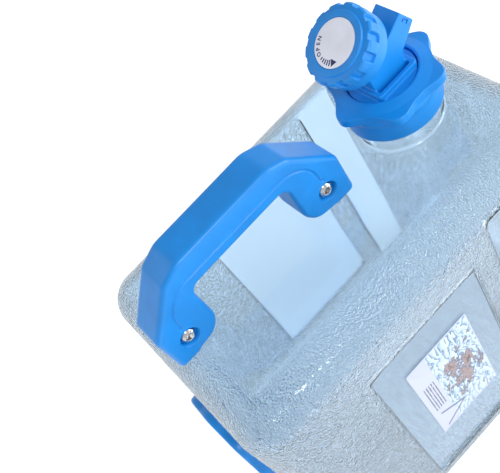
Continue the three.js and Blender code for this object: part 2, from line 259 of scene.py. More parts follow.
def roundedBox2d(lowX, highX, lowY, highY, radius, steps=8):
    corners = [(highX - radius, highY - radius), (lowX + radius, highY - radius),
               (lowX + radius, lowY + radius), (highX - radius, lowY + radius)]
    out = []
    for i, centre in enumerate(corners):
        t = np.linspace(i, i + 1, steps + 1) * math.pi / 2
        out.append(np.column_stack([radius * np.cos(t) + centre[0], radius * np.sin(t) + centre[1]]))
    return np.vstack(out)


# ---- materials

def feed(tree, socket, value):
    if isinstance(value, bpy.types.NodeSocket):
        tree.links.new(value, socket)
    else:
        socket.default_value = value


class Nodes:
    # a short way to write a node tree
    def __init__(self, name):
        self.material = bpy.data.materials.new(name)
        self.material.use_nodes = True
        self.tree = self.material.node_tree
        self.shader = self.tree.nodes["Principled BSDF"]

    def add(self, kind, inputs=None, **settings):
        node = self.tree.nodes.new("ShaderNode" + kind)
        for key, value in settings.items():
            setattr(node, key, value)
        for key, value in (inputs or {}).items():
            feed(self.tree, node.inputs[key], value)
        return node

    def put(self, **values):
        for key, value in values.items():
            feed(self.tree, self.shader.inputs[key.replace("_", " ")], value)

    def coordinates(self, scale=(1, 1, 1)):
        place = self.add("TexCoord").outputs["Object"]
        return self.add("Mapping", {"Vector": place, "Scale": scale}).outputs["Vector"]

    def math(self, operation, a, b=0.0, c=0.0, clamp=False):
        return self.add("Math", {0: a, 1: b, 2: c}, operation=operation, use_clamp=clamp).outputs[0]

    def ramp(self, factor, stops):
        node = self.add("ValToRGB", {"Fac": factor})
        elements = node.color_ramp.elements
        while len(elements) < len(stops):
            elements.new(0.5)
        for element, (position, colour) in zip(elements, stops):
            element.position = position
            element.color = colour
        return node.outputs["Color"]


def makeClearShell():
    # smooth where the pebble attribute is 0, grained and a little frosted where it is 1
    n = Nodes("clearShell")
    place = n.coordinates()
    n.put(Base_Color=(0.755, 0.89, 1.0, 1), Transmission_Weight=1.0, IOR=1.5, Specular_IOR_Level=0.5)
    slowWave = n.add("TexNoise", {"Vector": place, "Scale": 28.0, "Detail": 1.0}).outputs["Fac"]
    wave = n.add("Bump", {"Height": slowWave, "Strength": 0.08, "Distance": 0.004})
    mask = n.add("Attribute", attribute_name="pebble").outputs["Fac"]
    cell = 1000.0 / body["pebbleSize"]
    bend = n.add("TexNoise", {"Vector": place, "Scale": cell * 0.5, "Detail": 2.0}).outputs["Color"]
    bent = n.add("VectorMath", {0: bend, 1: (0.0016, 0.0016, 0.0016)}, operation="MULTIPLY").outputs[0]
    bent = n.add("VectorMath", {0: place, 1: bent}, operation="ADD").outputs[0]
    cells = n.add("TexVoronoi", {"Vector": bent, "Scale": cell, "Smoothness": 0.35}, feature="SMOOTH_F1")
    grain = n.math("MULTIPLY", n.math("SUBTRACT", 0.75, cells.outputs["Distance"], clamp=True), mask)
    pebble = n.add("Bump", {
        "Height": grain, "Strength": 1.0, "Distance": body["pebbleDepth"] * mm,
        "Normal": wave.outputs["Normal"],
    })
    rough = n.math("MULTIPLY_ADD", mask, 0.05, 0.065)
    n.put(Roughness=rough, Normal=pebble.outputs["Normal"])
    return n.material


def makePlastic(name, colour, roughness, grainStrength=0.08):
    n = Nodes(name)
    place = n.coordinates()
    mottle = n.add("TexNoise", {"Vector": place, "Scale": 45.0, "Detail": 3.0}).outputs["Fac"]
    dark = tuple(c * 0.93 for c in colour) + (1,)
    light = tuple(min(1, c * 1.06) for c in colour) + (1,)
    n.put(Base_Color=n.ramp(mottle, [(0.35, dark), (0.65, light)]), Specular_IOR_Level=0.45)
    grain = n.add("TexNoise", {"Vector": place, "Scale": 1900.0, "Detail": 2.0}).outputs["Fac"]
    handling = n.add("TexNoise", {"Vector": place, "Scale": 160.0, "Detail": 4.0}).outputs["Fac"]
    rough = n.math("MULTIPLY_ADD", handling, 0.16, roughness - 0.08)
    bump = n.add("Bump", {"Height": grain, "Strength": grainStrength, "Distance": 0.0003})
    n.put(Roughness=rough, Normal=bump.outputs["Normal"])
    return n.material


def makeSteel():
    n = Nodes("stainlessSteel")
    place = n.coordinates()
    scratch = n.add("TexNoise", {"Vector": place, "Scale": 2600.0, "Detail": 4.0}).outputs["Fac"]
    rough = n.math("MULTIPLY_ADD", scratch, 0.22, 0.1)
    bump = n.add("Bump", {"Height": scratch, "Strength": 0.06, "Distance": 0.0001})
    n.put(Base_Color=(0.55, 0.55, 0.56, 1), Metallic=1.0, Roughness=rough, Normal=bump.outputs["Normal"])
    return n.material


clearShell = makeClearShell()
bluePlastic = makePlastic("bluePlastic", (0.006, 0.245, 0.73), 0.36)
sealRubber = makePlastic("siliconeSeal", (0.72, 0.42, 0.38), 0.55)
naturalPlastic = makePlastic("naturalPlastic", (0.78, 0.8, 0.8), 0.4)
discPlastic = makePlastic("paleDisc", (0.78, 0.81, 0.93), 0.35, 0.03)
darkInk = makePlastic("navyInk", (0.01, 0.02, 0.11), 0.45, 0.03)
steel = makeSteel()
print("materials made")


# ---- the moulded shell

panelArea = {"low": -60.7, "high": 33.5, "bottom": 25.0, "top": 197.0, "depth": 1.0, "corner": 4.0}
stripArea = {"low": 51.5, "high": 81.7, "bottom": -30.0, "top": 222.0, "depth": 1.0, "corner": 4.0}
tapNeck = {
    "square": 34.0, "root": 32.0, "outer": 28.6, "inner": 25.2, "height": 29.8,
    "ridge": 0.75, "pitch": 6.0, "threadLow": 15.0, "threadHigh": 27.0,
}
fillNeck = {
    "square": 48.0, "root": 44.0, "outer": 41.0, "inner": 37.0, "height": 7.0,
    "ridge": 0.6, "pitch": 4.0, "threadLow": 2.0, "threadHigh": 6.0,
}


def edgeLines(half, flatLines):
    # lines across a face: even steps of angle over each rounded edge, the given lines on the flat
    flat = half - body["edge"]
    turn = np.linspace(0, math.pi / 4, 8)[1:]
    rounding = flat + body["edge"] * np.tan(turn)
    inner = np.array([v for v in flatLines if abs(v) < flat - 0.2])
    lines = np.concatenate([-rounding[::-1], [-flat], inner, [flat], rounding])
    return np.unique(np.round(lines, 4))


def spread(low, high, step):
    # even steps from low to high, each as near to step as they allow
    count = max(1, int(round((high - low) / step)))
    return np.linspace(low, high, count + 1)


def nearEdge(value):
    # four lines over the sloping wall of a recess
    slope = body["slope"]
    return [value - slope, value - 0.2, value + 0.2, value + slope]


def thin(lines, least):
    # a line closer than least to the one kept before it is dropped
    kept = [lines[0]]
    for v in lines[1:]:
        if v - kept[-1] >= least:
            kept.append(v)
    return kept


def faceLines():
    # fine lines where a neck meets its face and on each side of a recess's edge, coarse ones elsewhere
    tapSquare, lidSquare = tapNeck["square"], fillNeck["square"]
    fineX = spread(tapPlace[0] - tapSquare, tapPlace[0] + tapSquare, 2.0)
    fineY = spread(-tapSquare, tapSquare, 2.0)
    squareZ = lidPlace[2] - body["height"] / 2
    fineZ = spread(squareZ - lidSquare, squareZ + lidSquare, 3)
    edgesX = sum([nearEdge(a[k]) for a in (panelArea, stripArea) for k in ("low", "high")], [])
    middle = body["height"] / 2
    levels = (panelArea["bottom"], panelArea["top"], stripArea["top"])
    edgesZ = sum([nearEdge(v - middle) for v in levels], [])
    coarseX = [v for v in spread(-120, 40, 6) if min(abs(v - e) for e in edgesX) > 1.5]
    fineX = [v for v in fineX if min(abs(v - e) for e in edgesX) > 0.35]
    x = sorted([*coarseX, *fineX, *edgesX])
    beside = [*spread(34, 48, 3.5), *spread(48, 68, 5)]
    y = sorted([*[-v for v in beside], *fineY, *beside])
    coarseZ = [*spread(-98, -48, 6), *spread(48, 98, 6)]
    coarseZ = [v for v in coarseZ if min(abs(v - e) for e in edgesZ) > 1.5]
    z = sorted([*coarseZ, *fineZ, *edgesZ])
    return (
        edgeLines(body["length"] / 2, thin(x, 0.3)),
        edgeLines(body["width"] / 2, thin(y, 0.3)),
        edgeLines(body["height"] / 2, thin(z, 0.3)),
    )


def recessDepth(x, z, area):
    # signed distance to the rounded rectangle, turned into a short sloping wall
    halfX, halfZ = (area["high"] - area["low"]) / 2, (area["top"] - area["bottom"]) / 2
    dx = np.abs(x - (area["high"] + area["low"]) / 2) - halfX + area["corner"]
    dz = np.abs(z - (area["top"] + area["bottom"]) / 2) - halfZ + area["corner"]
    outside = np.hypot(np.maximum(dx, 0), np.maximum(dz, 0)) + np.minimum(np.maximum(dx, dz), 0)
    return 1 - smoothStep(outside - area["corner"], -body["slope"], body["slope"])


def shellPoint(p, normalShift):
    # p on the sharp box goes to the rounded box, then out along its own normal
    half = np.array([body["length"], body["width"], body["height"]]) / 2
    core = half - body["edge"]
    q = np.clip(p, -core, core)
    d = p - q
    normal = d / np.linalg.norm(d, axis=-1, keepdims=True)
    z = q[..., 2] + body["height"] / 2
    side = smoothStep(np.abs(normal[..., 1]), 0.9, 0.999)
    inPanel = recessDepth(q[..., 0], z, panelArea)
    inStrip = recessDepth(q[..., 0], z + normal[..., 2] * body["edge"], stripArea)
    recess = np.maximum(inPanel, inStrip) * side
    flatTop = (normal[..., 2] > 0.9999).astype(float)
    beyond = np.maximum(np.abs(p[..., 0]) - core[0], np.abs(p[..., 1]) - core[1])
    onTop = p[..., 2] > half[2] - 0.001
    pebble = np.where(onTop, smoothStep(beyond, -6, 5), 1.0) * (1 - recess)
    away = np.hypot(p[..., 0] - tapPlace[0], p[..., 1]) * flatTop + 90 * (1 - flatTop)
    endWall = normal[..., 0] < -0.9999
    away = np.where(endWall, np.hypot(p[..., 1], p[..., 2] - lidPlace[2] + body["height"] / 2), away)
    wave = 0.22 * np.sin(q[..., 0] * 0.045 + 1.3) * np.sin(q[..., 1] * 0.06 + q[..., 2] * 0.05)
    wave = wave * smoothStep(away, 70, 90) * (normalShift < 0)
    shift = normalShift - body["recess"] * recess + wave
    point = q + normal * (body["edge"] + shift)[..., None] + np.array([0, 0, body["height"] / 2])
    return point, pebble


def shellFaces(lines, normalShift):
    # six grids over the box; quads inside a neck's square are left out
    points, quads, pebbles = [], [], []
    start = 0
    for axis in range(3):
        first, second = [(1, 2), (2, 0), (0, 1)][axis]
        a, b = lines[first], lines[second]
        for side in (-1, 1):
            p = np.zeros((len(a), len(b), 3))
            p[..., first] = a[:, None]
            p[..., second] = b[None, :]
            p[..., axis] = side * [body["length"], body["width"], body["height"]][axis] / 2
            point, pebble = shellPoint(p, np.full(p.shape[:2], normalShift))
            faces = gridQuads(len(a), len(b), closeAround=False)
            middle = p.reshape(-1, 3)[faces].mean(1)
            hole = np.zeros(len(faces), bool)
            if axis == 2 and side > 0:
                hole = (np.abs(middle[:, 0] - tapPlace[0]) < tapNeck["square"]) & (
                    np.abs(middle[:, 1]) < tapNeck["square"])
            if axis == 0 and side < 0:
                hole = (np.abs(middle[:, 1]) < fillNeck["square"]) & (
                    np.abs(middle[:, 2] - lidPlace[2] + body["height"] / 2) < fillNeck["square"])
            faces = faces[~hole]
            if side > 0:
                faces = faces[:, ::-1]
            points.append(point.reshape(-1, 3))
            pebbles.append(pebble.ravel())
            quads.append(faces + start)
            start += point.shape[0] * point.shape[1]
    return np.vstack(points), np.vstack(quads), np.concatenate(pebbles)


def squareRing(a, b, square):
    # the points of the grid lines that lie on the square's edge, in order round it
    a = a[(a > -square - 0.01) & (a < square + 0.01)]
    b = b[(b > -square - 0.01) & (b < square + 0.01)]
    low = np.column_stack([a[:-1], np.full(len(a) - 1, -square)])
    right = np.column_stack([np.full(len(b) - 1, square), b[:-1]])
    high = np.column_stack([a[:0:-1], np.full(len(a) - 1, square)])
    left = np.column_stack([np.full(len(b) - 1, -square), b[:0:-1]])
    return np.vstack([low, right, high, left])


def neckSurface(ring, neck, place, wall):
    # square to circle on the face, up the fillet and thread, over the lip, down the bore and back
    angle = np.arctan2(ring[:, 1], ring[:, 0])
    unit = np.column_stack([np.cos(angle), np.sin(angle)])
    outer = refine(roundCorners([
        (neck["root"], 0, 0), (neck["outer"] + 0.2, 0, 2.4), (neck["outer"], neck["height"] - 0.1, 0.8),
        (neck["inner"], neck["height"] - 0.1, 0.8), (neck["inner"], -wall, 2.0), (neck["root"], -wall, 0),
    ], 5), 0.75)
    r, z = outer[:, :1], outer[:, 1:]
    onOutside = (np.arange(len(outer))[:, None] < np.argmax(outer[:, 1])).astype(float)
    zone = smoothStep(z, neck["threadLow"], neck["threadLow"] + 1) * (
        1 - smoothStep(z, neck["threadHigh"] - 1, neck["threadHigh"]))
    phase = z / neck["pitch"] - angle[None, :] / (2 * math.pi)
    ridge = neck["ridge"] * smoothStep(np.cos(phase * 2 * math.pi), 0.2, 0.9) * zone * onOutside
    radius = r + ridge
    rows = [np.concatenate([radius[..., None] * unit[None], np.repeat(z[..., None], len(ring), 1)], -1)]
    blendIn = []
    for t in (0.0, 0.35, 0.7):
        flat = ring * (1 - t) + unit * neck["root"] * t
        blendIn.append(np.column_stack([flat, np.zeros(len(ring))])[None])
    blendOut = [row + np.array([0, 0, -wall]) for row in blendIn[::-1]]
    local = np.concatenate([*blendIn, *rows, *blendOut])
    count = len(local)
    return place(local).reshape(-1, 3), gridQuads(count, len(ring)), np.zeros(count * len(ring))


def makeShell():
    lines = faceLines()
    outer = shellFaces(lines, 0.0)
    inner = shellFaces(lines, -body["wall"])
    tapRing = squareRing(lines[0] - tapPlace[0], lines[1], tapNeck["square"])
    lidRing = squareRing(lines[2] + body["height"] / 2 - lidPlace[2], lines[1], fillNeck["square"])
    sets = [
        outer, (inner[0], inner[1][:, ::-1], inner[2] * 0),
        neckSurface(tapRing, tapNeck, onTap, body["wall"]),
        neckSurface(lidRing, fillNeck, onLid, body["wall"]),
    ]
    points, quads, pebbles, start = [], [], [], 0
    for p, q, pebble in sets:
        points.append(p)
        quads.append(q + start)
        pebbles.append(pebble)
        start += len(p)
    shell = putMesh("jugShell", np.vstack(points), np.vstack(quads), {"pebble": np.concatenate(pebbles)})
    dress(shell, clearShell, "jug", ["jug_body"])


makeShell()
print("shell made")


# ---- the handle: a section carried along the bridge between its outer and inner curves

handle = {
    "middle": (handleLow[0] + handleHigh[0]) / 2,
    "halfWidth": (handleHigh[1] - handleLow[1]) / 2,
    "edgeRadius": 3.6,
    "footRadius": 2.2,
    "boltSpan": 120.1,
    "boltHeight": 16.0,
    "grooveWidth": 1.5,
    "grooveDepth": 0.75,
    "seamDepth": 0.22,
}
outerHalf = [
    (-76.8, 2.0, 0), (-76.8, 31.0, 5.0), (-49.8, 61.0, 9.0), (-36.0, 67.0, 16.0), (0.0, 67.0, 0),
]
innerHalf = [
    (-58.5, 2.0, 0), (-45.0, 2.9, 14.0), (-39.5, 12.0, 14.0), (-39.5, 43.5, 7.0), (0.0, 43.5, 0),
]
grooveHalf = [
    (-61.2, 26.6), (-59.6, 26.6), (-59.0, 31.0), (-58.6, 36.3), (-57.4, 40.3), (-55.2, 43.9), (-52.4, 46.9),
    (-49.0, 49.4), (-45.2, 51.2), (-41.2, 52.3), (-20.0, 52.6), (0.0, 52.4),
]
lug = {"length": 20.0, "width": 12.0, "height": 24.0, "hole": 3.4}
lugX = [handle["middle"] + side * handle["boltSpan"] / 2 for side in (-1, 1)]
axisZ = body["height"] + handle["boltHeight"]


def evenly(path, count):
    # the same path in equal steps of its own length
    lengths = np.concatenate([[0], np.cumsum(np.linalg.norm(np.diff(path, axis=0), axis=1))])
    at = np.linspace(0, lengths[-1], count)
    return np.column_stack([np.interp(at, lengths, path[:, 0]), np.interp(at, lengths, path[:, 1])])


def distanceTo(path, x, z):
    # least distance from each point to a line of straight pieces
    least = np.full(x.shape, 1e9)
    for (ax, az), (bx, bz) in zip(path[:-1], path[1:]):
        dx, dz = bx - ax, bz - az
        t = np.clip(((x - ax) * dx + (z - az) * dz) / (dx * dx + dz * dz), 0, 1)
        least = np.minimum(least, np.hypot(x - ax - t * dx, z - az - t * dz))
    return least


def nearestTo(path, x, z):
    return int(np.argmin(np.hypot(path[:, 0] - x, path[:, 1] - z)))


def handleStations(count):
    # matched points of the outer and inner curves, each run between two key stations cut evenly
    outer = roundCorners(outerHalf, 8)
    inner = roundCorners(innerHalf, 10)
    outerKeys = [0, *[nearestTo(outer, *key) for key in ((-76.8, 26), (-46, 62))], len(outer) - 1]
    innerKeys = [0, *[nearestTo(inner, *key) for key in ((-39.5, 22), (-37, 43))], len(inner) - 1]
    rows = []
    for i, share in enumerate(count):
        a = evenly(outer[outerKeys[i]:outerKeys[i + 1] + 1], share)
        b = evenly(inner[innerKeys[i]:innerKeys[i + 1] + 1], share)
        rows.append(np.hstack([a, b])[(1 if i else 0):])
    half = np.vstack(rows)
    mirrored = half[::-1][1:] * np.array([-1, 1, -1, 1])
    return np.vstack([half, mirrored])


def handleSection(across, deep):
    # rows of (share of thickness, side of y, angle in a corner, which stretch) round a rounded rectangle;
    # odd stretches are flat (1 outer, 5 inner, 3 and 7 sides), even ones are corners
    turn = np.linspace(0, math.pi / 2, 6)[1:-1]
    y = np.linspace(-1, 1, across)
    u = np.linspace(0, 1, deep)
    top = [(0.0, v, 0.0, 1) for v in y]
    corner1 = [(0.0, 1.0, t, 2) for t in turn]
    side1 = [(v, 1.0, 0.0, 3) for v in u]
    corner2 = [(1.0, 1.0, t, 4) for t in turn]
    bottom = [(1.0, v, 0.0, 5) for v in y[::-1]]
    corner3 = [(1.0, -1.0, t, 6) for t in turn]
    side2 = [(v, -1.0, 0.0, 7) for v in u[::-1]]
    corner4 = [(0.0, -1.0, t, 8) for t in turn]
    return np.array(top + corner1 + side1 + corner2 + bottom + corner3 + side2 + corner4)


def makeHandle():
    stations = handleStations([58, 46, 62])
    loop = handleSection(14, 74)
    r, h = handle["edgeRadius"], handle["halfWidth"]
    outer, inner = stations[:, None, :2], stations[:, None, 2:]
    span = inner - outer
    thick = np.linalg.norm(span, axis=-1)
    unit = span / thick[..., None]
    share, ySign, turn, part = [loop[None, :, k] for k in range(4)]
    onTop, onBottom = part == 1, part == 5
    deep = np.where(onTop, 0, np.where(onBottom, thick, r + share * (thick - 2 * r)))
    y = np.where(onTop | onBottom, ySign * (h - r), ySign * h)
    s, c = np.sin(turn), np.cos(turn)
    corners = (
        (2, r * (1 - c), h - r + r * s), (4, thick - r + r * s, h - r + r * c),
        (6, thick - r + r * c, -h + r - r * s), (8, r * (1 - s), -h + r - r * c),
    )
    for number, deepThere, yThere in corners:
        deep = np.where(part == number, deepThere, deep)
        y = np.where(part == number, yThere, y)
    flat = outer + unit * deep[..., None]
    x, z = flat[..., 0], flat[..., 1]
    right = np.array(grooveHalf)[::-1] * np.array([-1, 1])
    groove = np.vstack([np.array(grooveHalf), right[1:]])
    away = distanceTo(groove, x, z)
    half = handle["grooveWidth"] / 2
    dip = handle["grooveDepth"] * (1 - smoothStep(away, half - 0.45, half + 0.25))
    crown = 0.5 * (1 - np.abs(deep / thick * 2 - 1) ** 4)
    onSides = (np.abs(y) > h - 0.01).astype(float)
    y = y - np.sign(y) * onSides * dip + np.sign(y) * onSides * (crown - 0.5)
    seam = handle["seamDepth"] * (1 - smoothStep(np.abs(y), 0.25, 0.8)) * (deep < 0.01)
    x, z = x + unit[..., 0] * seam, z + unit[..., 1] * seam
    points = np.stack([x, y, z], -1)
    first = endRings(points[0])
    last = endRings(points[-1])
    points = np.concatenate([first[::-1], points, last])
    points = points + np.array([handle["middle"], 0, body["height"]])
    piece = putMesh("bridgeHandle", points, gridQuads(points.shape[0], points.shape[1]))
    cuts = []
    for x in lugX:
        pocket = roundedBox2d(x - 10.4, x + 10.4, -6.4, 6.4, 1.2, 3)
        cuts.append(prism("pocket", pocket, body["height"] - 5, body["height"] + 24.4, unmoved))
        cuts.append(boreAcross("bore", [(0, -20), (3.3, -20), (3.3, 20), (0, 20)], x))
        cuts.append(boreAcross("headSink", [(0, 9.5), (6.5, 9.5), (6.5, 12.6), (7.6, 14.2), (0, 14.2)], x))
        nutSink = [(0, -14.2), (7.4, -14.2), (6.5, -12.9), (6.5, -6.1), (0, -6.1)]
        cuts.append(boreAcross("nutSink", nutSink, x))
    combine(piece, cuts, "DIFFERENCE")
    dress(piece, bluePlastic, "jug", ["handle"], 38)


def endRings(ring):
    # the foot's rounded lower edge, then rings that close towards the middle
    centre = (ring.max(0) + ring.min(0)) / 2
    radius = handle["footRadius"]
    out = []
    for turn in np.linspace(0, math.pi / 2, 5)[1:]:
        inset = radius * (1 - math.cos(turn))
        size = (ring.max(0) - ring.min(0)) / 2
        shrink = 1 - inset / np.maximum(size, 1)
        moved = centre + (ring - centre) * np.array([shrink[0], shrink[1], 1])
        out.append(moved - np.array([0, 0, radius * math.sin(turn) - radius]))
    lower = out[-1]
    for share in (0.6, 0.25, 0.0):
        out.append(centre * (1 - share) + lower * share)
        out[-1][:, 2] = lower[:, 2]
    return np.array(out) - np.array([0, 0, radius])


def acrossHandle(x):
    # an axis along Z is laid along -Y at a lug
    return lambda p: np.stack([p[..., 0] + x, -p[..., 2], p[..., 1] + axisZ], -1)


def boreAcross(name, profile, x):
    return spun(name, np.array(profile, float), 48, acrossHandle(x))


def makeLugs():
    # two clear blocks on the shell's top, inside the feet of the handle, bored for the bolts
    for index, x in enumerate(lugX, 1):
        halfX, halfY = lug["length"] / 2, lug["width"] / 2
        foot = roundedBox2d(x - halfX, x + halfX, -halfY, halfY, 1.0, 4)
        low, high = body["height"] + 0.03, body["height"] + lug["height"]
        block = prism(f"boltLug{index}", foot, low, high, unmoved)
        r = lug["hole"]
        combine(block, [boreAcross("hole", [(0, -12), (r, -12), (r, 12), (0, 12)], x)], "DIFFERENCE")
        dress(block, clearShell, "jug", [], 35)


makeHandle()
makeLugs()
print("handle made")


# ---- fasteners

fastener = {
    "seat": 9.8, "headRadius": 5.2, "headHeight": 3.3, "socket": 2.45, "shank": 2.95,
    "nutSeat": 6.8, "washer": 1.2, "nut": 4.0, "nutHalfFlat": 4.93, "pitch": 1.0,
}


def hexRadius(angle, halfFlat):
    # half the flat over the cosine of the angle from the nearest middle of a side
    return halfFlat / np.cos((angle + math.pi / 6) % (math.pi / 3) - math.pi / 6)


def makeBolt(index, x):
    f = fastener
    seat, top = f["seat"], f["seat"] + f["headHeight"]
    end = -f["nutSeat"] - f["washer"] - f["nut"] - 1.0
    profile = refine(roundCorners([
        (0, seat + 0.3, 0), (f["socket"], seat + 0.3, 0), (f["socket"], top - 0.25, 0),
        (f["socket"] + 0.5, top, 0.1),
        (f["headRadius"] * 0.62, top - 0.1, 0.8), (f["headRadius"] * 0.93, seat + 1.9, 1.8),
        (f["headRadius"], seat + 0.6, 0.5), (f["headRadius"], seat, 0.15), (f["shank"], seat, 0.3),
        (f["shank"], end + 0.5, 0.1), (f["shank"] - 0.6, end, 0.1), (0, end, 0),
    ], 5), 0.24)
    inSocket = np.cumsum((profile[:, 0] > f["socket"] + 0.35).astype(int)) == 0

    def shaped(angle, r, z):
        hexed = hexRadius(angle, 1.0) * 0.93
        r = np.where(inSocket[:, None], r * hexed, r)
        phase = z / f["pitch"] - angle / (2 * math.pi)
        thread = 0.28 * (0.5 - 0.5 * np.cos(phase * 2 * math.pi))
        inThread = (np.abs(r - f["shank"]) < 0.02) & (z < -3)
        return np.where(inThread, r - thread, r), z

    bolt = spun(f"capScrew{index}", profile, 72, acrossHandle(x), shaped)
    dress(bolt, steel, "jug", [f"handle_bolt_{index}"])
    washer = refine(roundCorners([
        (3.3, -f["nutSeat"], 0), (6.0, -f["nutSeat"], 0.25), (6.0, -f["nutSeat"] - 1.2, 0.25),
        (3.3, -f["nutSeat"] - 1.2, 0.2),
    ], 4), 0.5)
    ring = spun(f"flatWasher{index}", washer, 64, acrossHandle(x), closed=True)
    dress(ring, steel, "jug", [f"handle_washer_{index}"])
    high = -f["nutSeat"] - f["washer"] - 0.3
    low = high - f["nut"]
    nut = refine(np.array([(3.3, low + 0.4), (3.8, low), (5.5, low), (5.7, low + 0.02), (5.7, high - 0.02),
                           (5.5, high), (3.8, high), (3.3, high - 0.4), (3.3, low + 0.4)], float), 0.25)

    def hexed(angle, r, z):
        chamfer = 5.05 + 1.6 * np.minimum(z - low, high - z)
        edge = np.minimum(hexRadius(angle, f["nutHalfFlat"]), chamfer)
        return np.where(r > 4.5, edge, r), z

    block = spun(f"hexNut{index}", nut, 96, acrossHandle(x), hexed)
    dress(block, steel, "jug", [f"handle_nut_{index}"], 30)


for index, x in enumerate(lugX, 1):
    makeBolt(index, x)
print("fasteners made")


# ---- filling lid

fillLid = {
    "bottom": 1.0,
    "top": -lidLow[0] - body["length"] / 2,
    "bore": 42.2, "crest": 46.8, "valley": 44.4, "lobes": 10, "plate": 2.6,
}


def lobed(angle, valley, crest, lobes, sharpness):
    # from valley to crest as a raised cosine of the angle times the lobes, to the power of the sharpness
    return valley + (crest - valley) * ((1 + np.cos(angle * lobes)) / 2) ** sharpness


def makeLid():
    d = fillLid
    top, bottom, outer = d["top"], d["bottom"], d["crest"]
    ceiling = top - d["plate"]
    profile = refine(roundCorners([
        (0, top - 0.6, 0), (27, top - 0.6, 1.0), (28.2, top, 0.8), (outer, top, 2.2), (outer, bottom, 0.7),
        (d["bore"], bottom, 0.6), (d["bore"], ceiling, 0.8), (0, ceiling, 0),
    ], 6), 1.3)

    def shaped(angle, r, z):
        swell = lobed(angle, d["valley"], d["crest"], d["lobes"], 0.8) / d["crest"]
        weight = smoothStep(r, 42.6, 45.0)
        return r * (1 - weight + weight * swell), z

    lid = spun("wideLid", profile, 360, onLid, shaped)
    dress(lid, bluePlastic, "lid", ["fill_lid"], 38)
    low, high = fillNeck["height"] + 0.3, ceiling - 0.3
    inner, outside = fillNeck["inner"] + 0.4, fillNeck["outer"] + 0.2
    gasket = refine(roundCorners([
        (inner, low, 0), (outside, low, 0.3), (outside, high, 0.3), (inner, high, 0.3),
    ], 4), 0.8)
    ring = spun("lidGasket", gasket, 160, onLid, closed=True)
    dress(ring, sealRubber, "lid", ["fill_lid_gasket"])


# ---- tap collar and its gasket

collar = {
    "bottom": 13.5, "shoulder": 35.2, "rimTop": 40.5, "opening": 22.8, "bore": 29.8, "skirt": 32.0,
    "waist": 31.2, "crest": 38.5, "valley": 31.9, "lobes": 6, "lobeLow": 31.2, "lobeTop": 37.6,
}


def makeCollar():
    d = collar
    profile = refine(roundCorners([
        (d["bore"], d["bottom"], 0), (d["skirt"], d["bottom"], 0.9), (d["waist"], 26.5, 6.0),
        (33.4, d["lobeLow"], 1.6), (d["crest"], d["lobeLow"] + 0.5, 0.9), (d["crest"], d["lobeTop"], 1.0),
        (d["waist"], d["lobeTop"] + 0.5, 5.0), (d["opening"] + 1.5, d["rimTop"], 0.9),
        (d["opening"], d["rimTop"] - 0.3, 0.8), (d["opening"], d["shoulder"], 0.4),
        (d["bore"], d["shoulder"], 0.6), (d["bore"], d["bottom"], 0),
    ], 7), 0.7)
    outside = np.cumsum((profile[:, 0] < d["opening"] + 0.3).astype(int)) == 0

    def shaped(angle, r, z):
        reach = lobed(angle, d["valley"], d["crest"], d["lobes"], 1.5)
        weight = smoothStep(r, 31.0, 33.6) * outside[:, None]
        pulled = 31.0 + (r - 31.0) * (reach - 31.0) / (d["crest"] - 31.0)
        return r * (1 - weight) + pulled * weight, z

    piece = spun("lobedCollar", profile, 432, onTap, shaped)
    dress(piece, bluePlastic, "collar", ["tap_collar"])
    low, high = tapNeck["height"] + 0.3, 32.1
    gasket = refine(roundCorners([
        (25.5, low, 0), (28.3, low, 0.4), (28.3, high, 0.4), (25.5, high, 0.4),
    ], 4), 0.7)
    ring = spun("tapGasket", gasket, 128, onTap, closed=True)
    dress(ring, sealRubber, "tap", ["tap_gasket"])


makeLid()
makeCollar()
print("lid and collar made")


# ---- tap body: solids joined and cut, then turned into one even skin with soft edges

tapBody = {
    "bossHalf": 16.4, "bossWall": 3.3, "bossTop": 43.0, "bossCorner": 2.6, "wellFloor": 37.0,
    "blockHalf": 10.0, "barrel": 12.5, "barrelTop": 30.0, "reach": 28.8, "spoutTop": 7.5, "spoutUnder": -6.2,
    "voxel": 0.48,
}


def alongTilt(axial, outward):
    # a point of the valve's own section, as (x, height) over the tap
    c, s = math.cos(valveTilt), math.sin(valveTilt)
    return -axial * s + outward * c, valvePivot + axial * c + outward * s


def sideways(points):
    # an outline in (x, height), carried along Y
    return onTap(np.stack([points[..., 0], points[..., 2], points[..., 1]], -1))


def rod(name, radius, low, high, place, centre=(0, 0), around=96):
    return prism(name, circle(radius, around, centre), low, high, place)


def ductPlace(p):
    # an outline in (Y, Z) carried along the valve's X
    return onValve(np.stack([p[..., 2], p[..., 0], p[..., 1]], -1))


def markPlace(p):
    # an outline in the valve's (X, Z), carried along Y and lifted a little
    return onValve(np.stack([p[..., 0], p[..., 2], p[..., 1] + 0.65], -1))


